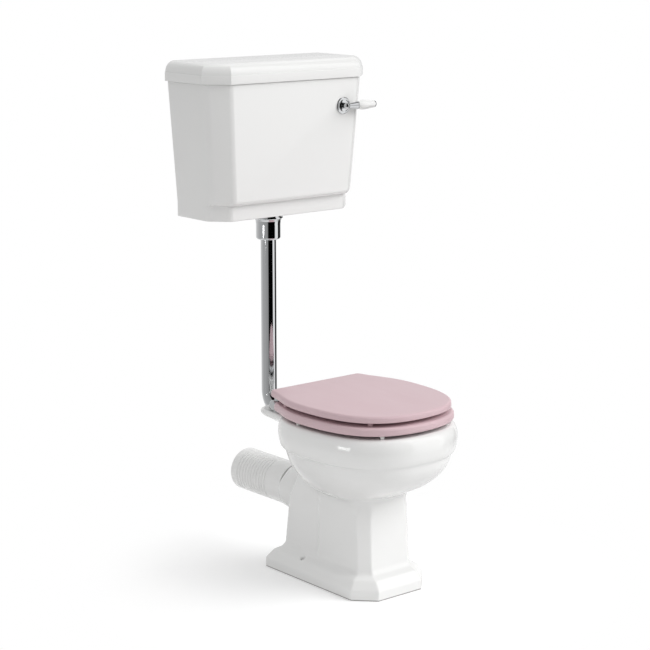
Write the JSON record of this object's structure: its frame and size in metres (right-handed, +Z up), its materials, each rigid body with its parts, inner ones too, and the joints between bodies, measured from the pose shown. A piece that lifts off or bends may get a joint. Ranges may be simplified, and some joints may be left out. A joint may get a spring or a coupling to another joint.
{
  "type": "low level toilet",
  "caption": "Low level toilet: floor-standing china pan with a horizontal outlet, a wall-hung lever cistern joined to it by a chrome flush pipe, and a hinged seat ring and lid.",
  "frame": {"origin": "on the floor, under the middle of the pan's plinth", "axes": "+X to the right of someone facing the toilet, +Y towards the wall behind it, +Z up"},
  "size_m": [0.5066, 0.6713, 1.2152],
  "materials": {
    "china": "white gloss glaze",
    "chrome": "polished",
    "seat_paint": "soft pink paint, satin",
    "clear_buffer": "milky, soft",
    "white_plastic": "moulded",
    "brass": "turned",
    "rubber": "matt black",
    "white_rubber": "matt white",
    "steel": "stainless"
  },
  "bodies": {
    "pan_and_cistern": {"pan": "china", "pan_foot": "china", "pan_plinth": "china", "pan_outlet": "china", "flush_pipe": "chrome", "flush_cone": "white_rubber", "cistern_body": "china", "siphon_body": "white_plastic", "siphon_washer": "rubber", "tail_back_nut": "chrome", "coupling_nut": "chrome", "pipe_seal": "rubber", "lever_rosette": "chrome", "lever_washer": "rubber", "lever_nut": "brass", "valve_body": "white_plastic", "valve_inner_washer": "rubber", "valve_outer_washer": "rubber", "valve_nut": "white_plastic", "pivot_pin": "steel", "hinge_bar": "chrome", "hinge_caps": "chrome", "hinge_posts": "chrome", "seat_washers": "rubber", "seat_nuts": "white_plastic"},
    "ring": {"seat_ring": "seat_paint", "ring_buffers": "clear_buffer", "ring_leaves": "chrome", "ring_leaf_screws": "steel"},
    "lid": {"seat_lid": "seat_paint", "lid_buffers": "seat_paint", "lid_leaves": "chrome", "lid_leaf_screws": "steel"},
    "lever": {"lever_spindle": "brass", "lever_arm": "chrome", "lever_handle": "china", "lever_cap": "chrome", "crank_arm": "brass", "crank_screw": "steel"},
    "lift": {"lift_rod": "steel", "lift_link": "steel", "plunger_plate": "white_plastic", "diaphragm": "rubber"},
    "float_lever": {"float_arm": "brass", "float": "white_plastic"},
    "inlet_piston": {"valve_piston": "brass"},
    "tank_lid": {"cistern_lid": "china"}
  },
  "joints": [
    {"name": "seat_ring_hinge", "type": "hinge", "parent": "pan_and_cistern", "child": "ring", "pos_m": [0, 0.124, 0.417], "axis": [-1, 0, 0], "range_deg": [0, 97]},
    {"name": "seat_lid_hinge", "type": "hinge", "parent": "ring", "child": "lid", "pos_m": [0, 0.124, 0.417], "axis": [1, 0, 0], "range_deg": [-100, 0]},
    {"name": "flush_lever_turn", "type": "hinge", "parent": "pan_and_cistern", "child": "lever", "pos_m": [0.146, 0.178, 1.101], "axis": [0, 1, 0], "range_deg": [0, 30]},
    {"name": "siphon_lift", "type": "slide", "parent": "pan_and_cistern", "child": "lift", "axis": [0, 0, 1], "range_m": [0, 0.039]},
    {"name": "float_arm_swing", "type": "hinge", "parent": "pan_and_cistern", "child": "float_lever", "pos_m": [0.1862, 0.34, 1.056], "axis": [-1, 0, 0], "range_deg": [0, 24]},
    {"name": "inlet_piston_slide", "type": "slide", "parent": "pan_and_cistern", "child": "inlet_piston", "axis": [1, 0, 0], "range_m": [0, 0.0031]},
    {"name": "cistern_lid_lift", "type": "slide", "parent": "pan_and_cistern", "child": "tank_lid", "axis": [0, 0, 1], "range_m": [0, 0.12]}
  ],
  "couplings": [
    {"joint": "siphon_lift", "follows": "flush_lever_turn", "m_per_rad": 0.074},
    {"joint": "inlet_piston_slide", "follows": "float_arm_swing", "m_per_rad": 0.00716}
  ]
}
